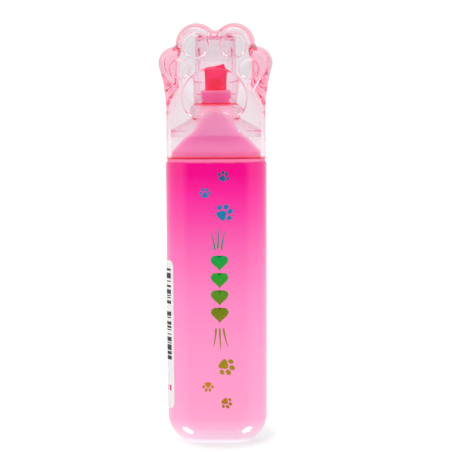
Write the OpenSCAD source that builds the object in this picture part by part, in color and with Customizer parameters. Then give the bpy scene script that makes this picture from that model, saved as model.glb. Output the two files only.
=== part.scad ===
// Capped highlighter with a clear cap shaped like an animal's paw.
//
// Millimetres. The origin is the middle of the barrel's flat base, +Z runs along the pen
// towards the cap, X is the width, and the printed face with the paw's pads looks along -Y.
// Every cross-section is an "oval": a straight middle with a half circle at each end.

/* [Barrel] */
// Width of the barrel at its mouth
barrel_w = 27.5; // [25:0.1:30]
// Depth of the barrel at its mouth
barrel_d = 17; // [15.6:0.1:18]
// Height of the barrel
barrel_h = 76.2; // [70:0.1:90]
// How far every side draws in from the mouth to the base, so that it leaves its mould
barrel_draft = 0.35; // [0:0.05:0.5]
// Wall of the barrel
barrel_wall = 1.5; // [1.2:0.1:1.7]
// Radius of the two bottom corners, seen from the front
base_corner_r = 7.4; // [5:0.1:9]
// Radius of the bottom edge, seen from the side
base_edge_r = 5.2; // [3:0.1:6]

/* [Front section] */
// Height of the flange that the cap's rim comes down to
flange_h = 0.95; // [0.6:0.05:1.5]
// How far the flange stands in from the barrel's outside
flange_inset = 0.4; // [0.2:0.05:0.8]
// Half width of the sleeve that the cap slides over
sleeve_half_w = 12.2; // [11.5:0.05:12.2]
// Height of the sleeve's upright side above the flange
sleeve_h = 1.85; // [1:0.05:2.5]
// Height of the sloping shoulder above the sleeve
shoulder_h = 4.2; // [3:0.1:5]
// Half width of the shoulder's top
shoulder_top_half_w = 8.45; // [7:0.05:9]
// Radius of the round neck
neck_r = 5.2; // [4.8:0.05:5.2]
// Radius of the collar that grips the nib
collar_r = 3.87; // [3.6:0.01:3.9]
// Height of the collar
collar_h = 4.3; // [3.8:0.1:4.6]
// How far the plug reaches down into the barrel
plug_depth = 10.5; // [6:0.5:14]

/* [Nib] */
// Width of the chisel nib
nib_w = 5.4; // [4:0.1:5.6]
// Thickness of the nib before it is cut to a chisel
nib_t = 4.2; // [3:0.1:4.4]
// How far the nib's highest point stands above the collar
nib_out = 7.1; // [5:0.1:8]
// How much lower the other end of the slanted edge is
nib_slant = 1.6; // [0.5:0.1:2.5]

/* [Cap] */
// Half width of the cap's lower part
cap_half_w = 13.5; // [13.3:0.05:13.7]
// Half depth of the cap
cap_half_d = 8.3; // [8.1:0.05:8.4]
// Wall of the cap
cap_wall = 1.1; // [0.9:0.05:1.2]
// Radius of the two toes at the top
lobe_r = 5.7; // [5.2:0.05:6]
// How far a top toe's middle is from the axis
lobe_x = 5.1; // [4.8:0.05:5.4]
// Height of a top toe's middle above the barrel's mouth
lobe_up = 32; // [31:0.1:34]
// Height of the valley between the top toes, above their middles
valley_up = 3.7; // [3:0.1:4.2]
// Radius of the two toes at the sides
toe_r = 4.45; // [4:0.05:4.8]
// How far a side toe's middle is from the axis
toe_x = 11.05; // [10.6:0.05:11.4]
// Height of a side toe's middle above the barrel's mouth
toe_up = 26.85; // [26:0.05:28]
// Height above the barrel's mouth at which the cap starts to widen
waist_up = 13.3; // [11:0.1:15]

/* [Pads] */
// How far the pads stand proud of the cap's front
pad_rise = 0.8; // [0.4:0.05:1]
// Radius of the pads on the top toes
top_pad_r = 3.65; // [3:0.05:4]
// How far those pads are from the axis
top_pad_x = 5.15; // [4.8:0.05:5.4]
// Height of those pads above the barrel's mouth
top_pad_up = 31.6; // [30:0.1:32]
// Radius of the pads on the side toes
side_pad_r = 2.85; // [2.4:0.05:3]
// How far those pads are from the axis
side_pad_x = 9.35; // [9:0.05:9.6]
// Height of those pads above the barrel's mouth
side_pad_up = 25.2; // [24.6:0.1:26]
// Radius of the big pad's upper arc
big_pad_r = 8.85; // [8:0.05:9]
// Height of that arc's middle above the barrel's mouth
big_pad_up = 17.55; // [17:0.05:18]

/* [Inner cap] */
// Outer radius of the tube around the nib
tube_r = 5.49; // [5.3:0.01:5.6]
// Bore radius of that tube
tube_bore_r = 4.4; // [4.2:0.05:4.6]
// Running clearance between the seal bead and the collar
seal_gap = 0.05; // [0.02:0.01:0.1]
// Outer radius of the ring below the tube
ring_r = 6.55; // [6.4:0.05:6.8]

/* [Label] */
// Height of the label's lower edge above the base
label_z = 9.3; // [8:0.1:14]
// Height of the label
label_h = 40.4; // [30:0.1:45]
// How far round the side the label starts, in front of the widest point, in degrees
label_front_deg = 41; // [20:1:60]
// Thickness of the label
label_t = 0.12; // [0.08:0.01:0.2]

/* [Hidden] */
$fn = 96;
arc_steps = 14;                                    // straight pieces in each arc of the paw
eps = 0.01;                                        // overlap that joins two solids of one piece
reach = 60;                                        // longer than any cut has to be

barrel_straight = (barrel_w - barrel_d) / 2;       // half of the oval's straight middle
cavity_half_w = barrel_w / 2 - barrel_wall;
cavity_half_d = barrel_d / 2 - barrel_wall;
floor_t = 1.8;

flange_z = barrel_h;
rim_gap = 0.05;                                    // the cap's rim stops this far above the flange
rim_z = flange_z + flange_h + rim_gap;
sleeve_top_z = flange_z + flange_h + sleeve_h;
shoulder_top_z = sleeve_top_z + shoulder_h;
sleeve_half_d = cap_half_d - (cap_half_w - sleeve_half_w);
flare_half_d = 5.7;                                // the flare is cut flat in front and behind
flare_top_z = shoulder_top_z + 5;
collar_z = barrel_h + 15;
collar_top_z = collar_z + collar_h;
nib_tip_z = collar_top_z + nib_out;
nib_tail_z = barrel_h - 14;
nib_fit = 0.03;

core_half_w = 8.9;
core_half_d = 5.2;
core_z0 = floor_t + 1.6;
core_z1 = barrel_h - 0.4;
film_t = 0.2;
film_gap = 0.05;

lobe_z = barrel_h + lobe_up;
toe_z = barrel_h + toe_up;
waist_z = barrel_h + waist_up;
cap_top_z = lobe_z + lobe_r;
cap_edge_r = 6;                                    // rounding of the cap's top, seen from the side
notch_r = 1;                                       // rounding between a top toe and a side toe
toe_inner_x = 10.9;                                // outside this the toes are solid plastic
valley_z = lobe_z + valley_up;
valley_r = (lobe_x * lobe_x + valley_up * valley_up - lobe_r * lobe_r)
    / (2 * (lobe_r - valley_up));                  // the valley's arc runs into both top toes
big_pad_z = barrel_h + big_pad_up;
round_root = 1.2;                                  // how far the round pads reach into the wall
big_root = 1;                                      // how far the big pad does

throat_r = neck_r + 0.3;
tube_top_z = barrel_h + 34.2;
ledge_z = collar_z + 1;                            // where the tube widens to the ring
ring_end_z = barrel_h + 12.2;
skirt_top_z = barrel_h + 8.7;
skirt_end_z = barrel_h + 6.8;
press_gap = 0.03;
skirt_half_w = cap_half_w - cap_wall - press_gap;
skirt_half_d = cap_half_d - cap_wall - press_gap;
inner_wall = 1.05;

// ---------- shared shapes ----------

// An oval of half width hw and half depth hd
module oval(hw, hd) {
    square([2 * (hw - hd), 2 * hd], center = true);
    for (s = [-1, 1]) translate([s * (hw - hd), 0]) circle(hd);
}

// An upright oval prism from height z0 to z1
module oval_prism(hw, hd, z0, z1) {
    translate([0, 0, z0]) linear_extrude(z1 - z0) oval(hw, hd);
}

// A thin oval slice, for hulls
module oval_slice(hw, hd, z) {
    translate([0, 0, z]) linear_extrude(eps) oval(hw, hd, $fn = 48);
}

// Stands a 2-D outline of (x, z) up and gives it the depth of +-half
module front_extrude(half) {
    rotate([90, 0, 0]) linear_extrude(2 * half, center = true) children();
}

// Stands a 2-D outline of (y, z) up and gives it the width of +-half
module side_extrude(half) {
    rotate([90, 0, 90]) linear_extrude(2 * half, center = true) children();
}

// A box outline of half width h from z0 to z1 whose two lower corners have radius r
module round_bottomed(h, z0, z1, r) {
    translate([-h, z0 + r]) square([2 * h, z1 - z0 - r]);
    translate([r - h, z0]) square([2 * (h - r), z1 - z0]);
    for (s = [-1, 1]) translate([s * (h - r), z0 + r]) circle(r);
}

// The same with the two rounded corners at the top
module round_topped(h, z0, z1, r) {
    translate([0, z0 + z1]) mirror([0, 1]) round_bottomed(h, z0, z1, r);
}

// Points of an arc about c from angle a to angle b
function arc(c, r, a, b) =
    [for (i = [0:arc_steps]) let (t = a + (b - a) * i / arc_steps) c + r * [cos(t), sin(t)]];

// The direction from point a to point b
function heading(a, b) = atan2(b[1] - a[1], b[0] - a[0]);

// Middle of the circle of radius f that rests on circle (a, ra) and circle (b, rb), on the
// outer side of the line from b to a
function resting_on(a, ra, b, rb, f) =
    let (d = norm(b - a), u = (b - a) / d, n = [-u[1], u[0]],
         along = ((ra + f) * (ra + f) - (rb + f) * (rb + f) + d * d) / (2 * d),
         off = sqrt((ra + f) * (ra + f) - along * along))
    a + along * u + off * n;

function mirrored(points) = [for (i = [len(points) - 1:-1:0]) [-points[i][0], points[i][1]]];

// ---------- barrel ----------

// The barrel's body, pushed in by "inset" on every side: two upright cones and the slab
// between them, cut to the rounded base seen from the front and from the side
module barrel_form(inset, z0, z1) {
    top_r = barrel_d / 2 - inset;
    base_r = top_r - barrel_draft;
    intersection() {
        union() {
            for (s = [-1, 1]) translate([s * barrel_straight, 0, 0])
                cylinder(h = barrel_h, r1 = base_r, r2 = top_r);
            side_extrude(barrel_straight)
                polygon([[-base_r, 0], [base_r, 0], [top_r, barrel_h], [-top_r, barrel_h]]);
        }
        front_extrude(reach)
            round_bottomed(barrel_w / 2 - inset, z0, z1, base_corner_r - inset);
        side_extrude(reach)
            round_bottomed(barrel_d / 2 - inset, z0, z1, base_edge_r - inset / 2);
    }
}

// Drafted shell, open at the top, with ribs that hold the ink reservoir in the middle
module barrel() {
    rib_t = 0.9;
    rib_x = 4.5;
    rib_top = barrel_h - plug_depth - 3;
    rib_half_d = core_half_d + film_t + film_gap + 0.1;
    color([0.96, 0.36, 0.66]) {
        difference() {
            barrel_form(0, 0, barrel_h);
            barrel_form(barrel_wall, floor_t, barrel_h + 1);
            oval_prism(cavity_half_w, cavity_half_d, barrel_h - plug_depth - 0.5, barrel_h + 1);
        }
        for (x = [-rib_x, rib_x], s = [-1, 1])
            translate([x - rib_t / 2, s > 0 ? rib_half_d : -cavity_half_d - 0.2, floor_t + 4])
                cube([rib_t, cavity_half_d + 0.2 - rib_half_d, rib_top - floor_t - 4]);
        translate([-core_half_w / 2, -rib_t / 2, floor_t - 0.2])
            cube([core_half_w, rib_t, core_z0 - floor_t + 0.1]);
    }
}

// ---------- front section ----------

// Flange, sleeve, shoulder, neck and collar in one moulding, with a plug that is pressed
// into the barrel
module front_section() {
    plug_fit = 0.05;
    plug_wall = 1.15;
    flare_r = (pow(flare_top_z - shoulder_top_z, 2) + pow(shoulder_top_half_w - neck_r, 2))
        / (2 * (shoulder_top_half_w - neck_r));
    flare_end = asin((flare_top_z - shoulder_top_z) / flare_r);
    collar_chamfer = 0.45;
    color([0.93, 0.5, 0.7]) difference() {
        union() {
            oval_prism(cavity_half_w - plug_fit, cavity_half_d - plug_fit,
                       barrel_h - plug_depth, flange_z + eps);
            oval_prism(barrel_w / 2 - flange_inset, barrel_d / 2 - flange_inset,
                       flange_z, flange_z + flange_h);
            oval_prism(sleeve_half_w, sleeve_half_d, flange_z, sleeve_top_z);
            hull() {
                oval_slice(sleeve_half_w, sleeve_half_d, sleeve_top_z - eps);
                oval_slice(shoulder_top_half_w, flare_half_d, shoulder_top_z - eps);
            }
            // the neck's concave flare, flat in front and behind where the pen is thinner
            intersection() {
                rotate_extrude() polygon(concat(
                    [[0, shoulder_top_z - 0.5], [shoulder_top_half_w, shoulder_top_z - 0.5]],
                    arc([neck_r + flare_r, flare_top_z], flare_r, 180 + flare_end, 180),
                    [[0, flare_top_z]]));
                translate([-reach, -flare_half_d, 0])
                    cube([2 * reach, 2 * flare_half_d, flare_top_z]);
            }
            rotate_extrude() polygon([
                [0, flare_top_z - eps], [neck_r, flare_top_z - eps], [neck_r, collar_z - 0.3],
                [neck_r - 0.3, collar_z], [collar_r, collar_z],
                [collar_r, collar_top_z - collar_chamfer],
                [collar_r - collar_chamfer, collar_top_z], [0, collar_top_z]]);
        }
        // room for the reservoir's upper end
        oval_prism(cavity_half_w - plug_fit - plug_wall, cavity_half_d - plug_fit - plug_wall,
                   barrel_h - plug_depth - 1, sleeve_top_z - 1.2);
        // the slot that holds the nib
        oval_prism(nib_w / 2 + nib_fit, nib_t / 2 + nib_fit, sleeve_top_z - 2, collar_top_z + 1);
    }
}

// ---------- nib ----------

// Fibre nib of oval section: pointed tail in the reservoir, slanted chisel edge outside
module nib() {
    edge_t = 0.9;
    bevel_z = collar_top_z + 2.9;
    tail_taper = 6;
    color([0.95, 0.1, 0.3]) intersection() {
        oval_prism(nib_w / 2, nib_t / 2, nib_tail_z, nib_tip_z);
        front_extrude(reach) polygon([
            [-nib_w / 2, nib_tail_z], [nib_w / 2, nib_tail_z],
            [nib_w / 2, nib_tip_z - 1.8], [nib_w / 2 - 0.4, nib_tip_z],
            [-nib_w / 2, nib_tip_z - nib_slant]]);
        side_extrude(reach) polygon([
            [-edge_t / 2, nib_tail_z], [edge_t / 2, nib_tail_z],
            [nib_t / 2, nib_tail_z + tail_taper], [nib_t / 2, bevel_z],
            [edge_t / 2, nib_tip_z], [-edge_t / 2, nib_tip_z],
            [-nib_t / 2, bevel_z], [-nib_t / 2, nib_tail_z + tail_taper]]);
    }
}

// ---------- ink reservoir ----------

// Bundle of fibres that holds the ink, with the pocket that the nib's tail is pushed into
module reservoir_core() {
    color([0.98, 0.45, 0.7]) difference() {
        oval_prism(core_half_w, core_half_d, core_z0, core_z1);
        oval_prism(nib_w / 2 + nib_fit, nib_t / 2 + nib_fit, nib_tail_z - 0.1, barrel_h);
    }
}

// Thin plastic wrap round the bundle
module reservoir_film() {
    inner_w = core_half_w + film_gap;
    inner_d = core_half_d + film_gap;
    color([0.9, 0.9, 0.95]) difference() {
        oval_prism(inner_w + film_t, inner_d + film_t, core_z0, core_z1);
        oval_prism(inner_w, inner_d, core_z0 - 1, core_z1 + 1);
    }
}

// ---------- cap ----------

// Right half of the paw seen from the front, as arcs that run into each other: upright
// side, hollow waist, side toe, notch, top toe and half of the valley
function paw_half() =
    let (lobe = [lobe_x, lobe_z], toe = [toe_x, toe_z],
         overhang = cap_half_w - toe_x, rise = toe_z - waist_z,
         waist_r = (overhang * overhang + rise * rise - toe_r * toe_r) / (2 * (toe_r - overhang)),
         waist = [cap_half_w + waist_r, waist_z],
         notch = resting_on(lobe, lobe_r, toe, toe_r, notch_r),
         valley = [0, valley_z + valley_r])
    concat([[cap_half_w, rim_z]],
           arc(waist, waist_r, 180, heading(waist, toe)),
           arc(toe, toe_r, heading(toe, waist), heading(toe, notch)),
           arc(notch, notch_r, heading(toe, notch) + 180, heading(lobe, notch) + 180),
           arc(lobe, lobe_r, heading(lobe, notch), heading(lobe, valley)),
           arc(valley, valley_r, heading(valley, lobe), -90));

// Right half of the hollow inside it: it follows the top toes at the wall's distance, and
// keeps out of the side toes, which are solid
function hollow_half() =
    let (lobe = [lobe_x, lobe_z], valley = [0, valley_z + valley_r])
    concat([[cap_half_w - cap_wall, rim_z - 1], [cap_half_w - cap_wall, waist_z - 1.5],
            [toe_inner_x, toe_z - 4.5], [toe_inner_x - 0.3, toe_z + 0.5]],
           arc(lobe, lobe_r - cap_wall, 5, heading(lobe, valley)),
           arc(valley, valley_r + cap_wall, heading(valley, lobe), -90));

// Both halves of such an outline as one polygon
module both_halves(half) {
    polygon(concat(half, mirrored(half)));
}

// Outline of the big pad: a wide arc on top, a round corner on each side that runs into it,
// and a low arch between the corners
module big_pad_outline() {
    middle = [0, big_pad_z];
    corner = [5.2, big_pad_z - 1.8];
    corner_r = big_pad_r - norm(corner - middle);
    arch_top = big_pad_z - 3.55;
    k = corner[1] - arch_top;
    arch_r = (corner[0] * corner[0] + k * k - corner_r * corner_r) / (2 * (corner_r - k));
    arch = [0, arch_top - arch_r];
    both_halves(concat(
        arc(arch, arch_r, 90, heading(arch, corner)),
        arc(corner, corner_r, heading(corner, arch) + 360, heading(middle, corner) + 360),
        arc(middle, big_pad_r, heading(middle, corner), 90)));
}

// A round pad on a short root, in two steps
module round_pad(x, z, r) {
    first_step = 0.55 * pad_rise;
    translate([x, round_root - cap_half_d, z]) rotate([90, 0, 0]) {
        cylinder(h = round_root + first_step, r = r);
        cylinder(h = round_root + pad_rise, r = 0.7 * r);
    }
}

// The big pad in steps, each a smaller copy of the one below it
module big_pad() {
    steps = 3;
    translate([0, big_root - cap_half_d, big_pad_z]) rotate([90, 0, 0])
        for (i = [0:steps - 1]) linear_extrude(big_root + pad_rise * (i + 1) / steps)
            scale(1 - 0.06 * i * (i + 1)) translate([0, -big_pad_z]) big_pad_outline();
}

// What the cap may fill, seen from above: an oval that grows wider above the waist, where
// its two round ends lean outwards
module cap_plan() {
    full_half_w = toe_x + toe_r + 0.05;
    top_z = toe_z - 2;
    waist_x = cap_half_w - cap_half_d;
    full_x = full_half_w - cap_half_d;
    lean = atan((full_x - waist_x) / (top_z - waist_z));
    for (s = [-1, 1]) {
        translate([s * waist_x, 0, 0]) cylinder(h = waist_z + 1, r = cap_half_d);
        translate([s * waist_x, 0, waist_z]) rotate([0, s * lean, 0]) translate([0, 0, -2])
            cylinder(h = (top_z - waist_z) / cos(lean) + 4, r = cap_half_d);
        translate([s * full_x, 0, top_z]) cylinder(h = cap_top_z, r = cap_half_d);
    }
    front_extrude(cap_half_d) both_halves([
        [waist_x, 0], [waist_x, waist_z], [full_x, top_z], [full_x, cap_top_z + 1]]);
}

// Clear paw: hollow up to the top toes, solid side toes, five pads on the front
module cap_shell() {
    color([0.95, 0.88, 0.9, 0.4]) {
        difference() {
            intersection() {
                front_extrude(reach) both_halves(paw_half());
                side_extrude(reach) round_topped(cap_half_d, rim_z, cap_top_z, cap_edge_r);
                cap_plan();
            }
            intersection() {
                front_extrude(reach) both_halves(hollow_half());
                side_extrude(reach) round_topped(cap_half_d - cap_wall, rim_z - 2,
                                                 cap_top_z - cap_wall, cap_edge_r - cap_wall);
                oval_prism(cap_half_w - cap_wall, cap_half_d - cap_wall, rim_z - 1, cap_top_z);
            }
        }
        big_pad();
        for (s = [-1, 1]) {
            round_pad(s * top_pad_x, barrel_h + top_pad_up, top_pad_r);
            round_pad(s * side_pad_x, barrel_h + side_pad_up, side_pad_r);
        }
    }
}

// Closed tube round the nib with a seal bead for the collar, a ring that clears the neck,
// and a funnel whose skirt is pressed into the cap
module inner_cap() {
    seal_r = collar_r + seal_gap;
    ceiling_z = ledge_z - 0.7;
    roof_t = 1.1;
    funnel_drop = 0.5;
    color([0.98, 0.7, 0.82, 0.5]) {
        rotate_extrude() polygon([
            [0, tube_top_z], [tube_r - 0.6, tube_top_z], [tube_r, tube_top_z - 0.6],
            [tube_r, ledge_z], [ring_r, ledge_z - 0.8], [ring_r, ring_end_z - eps],
            [throat_r, ring_end_z - eps], [throat_r, ceiling_z],
            [seal_r + 0.4, ceiling_z], [seal_r + 0.4, collar_z + 1.6],
            [seal_r, collar_z + 2], [seal_r, collar_z + 3.2],
            [seal_r + 0.3, collar_z + 3.5], [seal_r + 0.3, collar_z + 6.2],
            [tube_bore_r, collar_z + 6.4], [tube_bore_r, tube_top_z - roof_t - 0.4],
            [tube_bore_r - 0.4, tube_top_z - roof_t], [0, tube_top_z - roof_t]]);
        difference() {
            union() {
                hull() {
                    translate([0, 0, ring_end_z]) cylinder(h = eps, r = ring_r, $fn = 48);
                    oval_slice(skirt_half_w, skirt_half_d, skirt_top_z);
                }
                oval_prism(skirt_half_w, skirt_half_d, skirt_end_z, skirt_top_z + eps);
            }
            hull() {
                translate([0, 0, ring_end_z - funnel_drop])
                    cylinder(h = eps, r = throat_r, $fn = 48);
                oval_slice(skirt_half_w - inner_wall, skirt_half_d - inner_wall,
                           skirt_top_z - funnel_drop);
            }
            cylinder(h = reach * 2, r = throat_r);
            oval_prism(skirt_half_w - inner_wall, skirt_half_d - inner_wall,
                       skirt_end_z - 1, skirt_top_z - funnel_drop + eps);
        }
    }
}

// ---------- label ----------

// Thin paper label wrapped round the side at -X, with two rounded corners in front
module label() {
    corner_r = 1.8;
    base_r = barrel_d / 2 - barrel_draft;
    color([0.88, 0.88, 0.87]) intersection() {
        translate([-barrel_straight, 0, 0]) difference() {
            cylinder(h = barrel_h, r1 = base_r + label_t, r2 = barrel_d / 2 + label_t);
            cylinder(h = barrel_h, r1 = base_r, r2 = barrel_d / 2);
        }
        // the part of the side that it covers, from the front edge round to the flat back
        translate([-barrel_straight, 0, 0]) linear_extrude(barrel_h)
            polygon(concat([[0, 0]], arc([0, 0], barrel_d, 90, 180 + label_front_deg)));
        side_extrude(reach) translate([0, label_z]) {
            front_y = -(barrel_d / 2) * sin(label_front_deg) - 0.05;
            translate([front_y + corner_r, 0]) square([barrel_d, label_h]);
            translate([front_y, corner_r]) square([barrel_d, label_h - 2 * corner_r]);
            for (z = [corner_r, label_h - corner_r]) translate([front_y + corner_r, z]) circle(corner_r);
        }
    }
}

barrel();
front_section();
nib();
reservoir_core();
reservoir_film();
cap_shell();
inner_cap();
label();
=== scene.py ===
# %% [markdown]
# # A flat highlighter with a clear paw cap
# The pen stands upright on a pale floor: a pink barrel printed with foil, a satin pink front
# section with a red chisel nib, and a clear cap shaped like an animal's paw over both.
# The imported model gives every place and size. This script puts finer surfaces on it.

# %% Load the frame
import math

import bmesh
import bpy
import numpy as np
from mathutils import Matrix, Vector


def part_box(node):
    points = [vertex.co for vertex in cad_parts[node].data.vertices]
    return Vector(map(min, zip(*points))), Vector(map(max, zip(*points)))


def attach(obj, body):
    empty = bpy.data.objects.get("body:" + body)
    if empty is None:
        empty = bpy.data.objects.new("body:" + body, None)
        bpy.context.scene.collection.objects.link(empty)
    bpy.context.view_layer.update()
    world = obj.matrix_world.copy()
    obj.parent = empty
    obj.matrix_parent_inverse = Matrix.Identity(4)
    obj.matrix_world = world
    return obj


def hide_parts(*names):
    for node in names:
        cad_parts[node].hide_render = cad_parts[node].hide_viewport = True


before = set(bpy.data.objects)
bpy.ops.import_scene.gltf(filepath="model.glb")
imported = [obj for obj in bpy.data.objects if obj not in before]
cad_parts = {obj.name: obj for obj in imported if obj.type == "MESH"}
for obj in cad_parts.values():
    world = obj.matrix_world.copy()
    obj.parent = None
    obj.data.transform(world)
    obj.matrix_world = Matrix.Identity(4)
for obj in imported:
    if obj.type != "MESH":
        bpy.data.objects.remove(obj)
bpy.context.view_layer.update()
MM = 0.001

# %% [markdown]
# ## Sizes from the frame
# Shapes below are worked out in millimetres, because that is how a pen is drawn, and turned
# into metres once, when a mesh is made.

# %% Read the sizes
def box_mm(node):
    """Lowest and highest corner of a node at rest, in millimetres."""
    lo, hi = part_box(node)
    return np.array(lo) / MM, np.array(hi) / MM


barrel_lo, barrel_hi = box_mm("barrel")
front_lo, front_hi = box_mm("front_section")
cap_lo, cap_hi = box_mm("cap_shell")
inner_lo, inner_hi = box_mm("inner_cap")
nib_lo, nib_hi = box_mm("nib")
label_lo, label_hi = box_mm("label")
mouth_z = barrel_hi[2]
print("barrel", barrel_lo.round(2), barrel_hi.round(2))
print("cap", cap_lo.round(2), cap_hi.round(2))

# %% [markdown]
# ## Ovals carried up a profile
# Most of this pen is an oval that changes size with height: a straight middle and a half
# circle at each end. A piece is then only a profile, a list of (half width, half depth,
# height). The same code makes a round neck, because an oval whose width equals its depth is
# a circle.

# %% Oval sections
ARC_POINTS = 56
FLAT_POINTS = 20


def unit_oval():
    """Where each point of the oval sits: which end it belongs to, from -1 to 1, and the
    cosine and sine of its direction from that end's middle."""
    turn = np.linspace(-90, 90, ARC_POINTS, endpoint=False)
    slide = np.linspace(1, -1, FLAT_POINTS, endpoint=False)
    end = np.concatenate([np.ones(ARC_POINTS), slide, -np.ones(ARC_POINTS), -slide])
    angle = np.radians(
        np.concatenate(
            [turn, np.full(FLAT_POINTS, 90), turn + 180, np.full(FLAT_POINTS, 270)]
        )
    )
    return end, np.cos(angle), np.sin(angle)


OVAL_END, OVAL_COS, OVAL_SIN = unit_oval()


def oval_rings(profile):
    """One oval ring of points for each (half width, half depth, height) of a profile: the
    end's middle is half width less half depth from the axis, and the radius is the half
    depth."""
    w, d, z = np.asarray(profile, float).T[:, :, None]
    straight = np.maximum(w - d, 0)
    x = straight * OVAL_END + np.minimum(w, d) * OVAL_COS
    y = d * OVAL_SIN
    return np.stack([x, y, np.broadcast_to(z, x.shape)], axis=2)


def soften(profile, radius, steps=5):
    """The same profile with its corners rounded: each corner becomes a short parabola that
    starts and ends a radius away from it."""
    p = np.asarray(profile, float)
    out = [p[:1]]
    t = np.linspace(0, 1, steps)[:, None]
    for before, corner, after in zip(p[:-2], p[1:-1], p[2:]):
        ends = []
        for other in (before, after):
            away = other - corner
            length = np.linalg.norm(away)
            ends.append(corner + away * min(radius, 0.45 * length) / length)
        out.append(
            (1 - t) ** 2 * ends[0] + 2 * t * (1 - t) * corner + t**2 * ends[1]
        )
    out.append(p[-1:])
    return np.concatenate(out)


# %% Meshes from grids
def grid_quads(rows, cols, wrap):
    """Corner numbers of the quads of a grid of points. With wrap, the last column joins the
    first."""
    r = np.arange(rows - 1)[:, None] * cols
    c = np.arange(cols if wrap else cols - 1)[None, :]
    n = (c + 1) % cols
    return np.stack([r + c, r + n, r + cols + n, r + cols + c], axis=2).reshape(-1, 4)


def make_piece(name, points, faces, sharp_deg=35):
    """A mesh object at the origin from points in millimetres and rows of corner numbers.
    Points that coincide are merged, and edges that turn more than sharp_deg stay crisp."""
    mesh = bpy.data.meshes.new(name)
    mesh.from_pydata((points * MM).tolist(), [], faces)
    work = bmesh.new()
    work.from_mesh(mesh)
    bmesh.ops.remove_doubles(work, verts=work.verts, dist=2e-7)
    bmesh.ops.dissolve_degenerate(work, edges=work.edges, dist=1e-8)
    bmesh.ops.recalc_face_normals(work, faces=work.faces)
    open_edges = sum(1 for e in work.edges if not e.is_manifold)
    work.to_mesh(mesh)
    work.free()
    mesh.shade_smooth()
    mesh.set_sharp_from_angle(angle=math.radians(sharp_deg))
    piece = bpy.data.objects.new(name, mesh)
    bpy.context.scene.collection.objects.link(piece)
    print(f"{name}: {len(mesh.vertices)} points, {open_edges} open edges")
    return piece


def turned_piece(name, rings, closed_loop=False, sharp_deg=35):
    """A piece from a stack of rings. Unless the profile is a closed loop, a point in the
    middle of the first and of the last ring closes it."""
    rows, cols = rings.shape[:2]
    points = rings.reshape(-1, 3)
    faces = grid_quads(rows, cols, wrap=True).tolist()
    if closed_loop:
        last = (rows - 1) * cols
        around = np.arange(cols)
        ahead = (around + 1) % cols
        seam = np.stack([last + around, last + ahead, ahead, around], axis=1)
        faces += seam.tolist()
    else:
        points = np.concatenate([points, rings[0].mean(0)[None], rings[-1].mean(0)[None]])
        first_pole, last_pole = len(points) - 2, len(points) - 1
        around = np.arange(cols)
        ahead = (around + 1) % cols
        start = np.stack([np.full(cols, first_pole), ahead, around], axis=1)
        top = (rows - 1) * cols
        end = np.stack([np.full(cols, last_pole), top + around, top + ahead], axis=1)
        faces += start.tolist() + end.tolist()
    return make_piece(name, points, faces, sharp_deg)


# %% [markdown]
# ## Materials
# Every finish is a Principled shader with a few nodes in front of it. Patterns read the
# Object coordinates, which are metres in the pen's own frame, so a colour can follow the
# height along the barrel. Adding nodes one by one takes many lines, so a small class keeps
# the node tree and adds a node with its values in one call.

# %% Colours
def linear(rgb):
    """A screen colour, 0 to 255, as the linear values that a shader wants."""
    c = np.asarray(rgb, float) / 255
    low = c / 12.92
    high = ((c + 0.055) / 1.055) ** 2.4
    return (*np.where(c <= 0.04045, low, high), 1.0)


# %% Node helpers
class Nodes:
    """A node tree and short ways to add to it. A value is a number, a colour or another
    node's output, which gets linked."""

    def __init__(self, tree):
        self.nodes, self.links = tree.nodes, tree.links

    def put(self, socket, value):
        """Gives a socket its value."""
        if isinstance(value, bpy.types.NodeSocket):
            self.links.new(value, socket)
        else:
            socket.default_value = value

    def add(self, kind, inputs=None, **choices):
        """A new node, with its choices and its inputs set by their names."""
        node = self.nodes.new("ShaderNode" + kind)
        for choice, value in choices.items():
            setattr(node, choice, value)
        for socket, value in (inputs or {}).items():
            self.put(node.inputs[socket], value)
        return node

    def math(self, operation, *values):
        """The result of a math node. With more than two values it is applied in turn."""
        result = values[0]
        for value in values[1:] or [0.0]:
            result = self.add("Math", {0: result, 1: value}, operation=operation).outputs[0]
        return result

    def between(self, value, low, high):
        """1 where a value lies between low and high, 0 elsewhere."""
        above = self.math("GREATER_THAN", value, low)
        return self.math("MULTIPLY", above, self.math("LESS_THAN", value, high))

    def spread(self, value, start, end, low, high, kind="LINEAR"):
        """A value carried from the range start to end over to the range low to high."""
        ends = {"From Min": start, "From Max": end, "To Min": low, "To Max": high}
        node = self.add("MapRange", {"Value": value, **ends}, interpolation_type=kind)
        return node.outputs[0]

    def mix(self, factor, a, b, blend="MIX"):
        """Colour a where the factor is 0 and b where it is 1."""
        inputs = {"Factor": factor, "A": a, "B": b}
        node = self.add("Mix", inputs, data_type="RGBA", blend_type=blend)
        return node.outputs["Result"]


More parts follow.
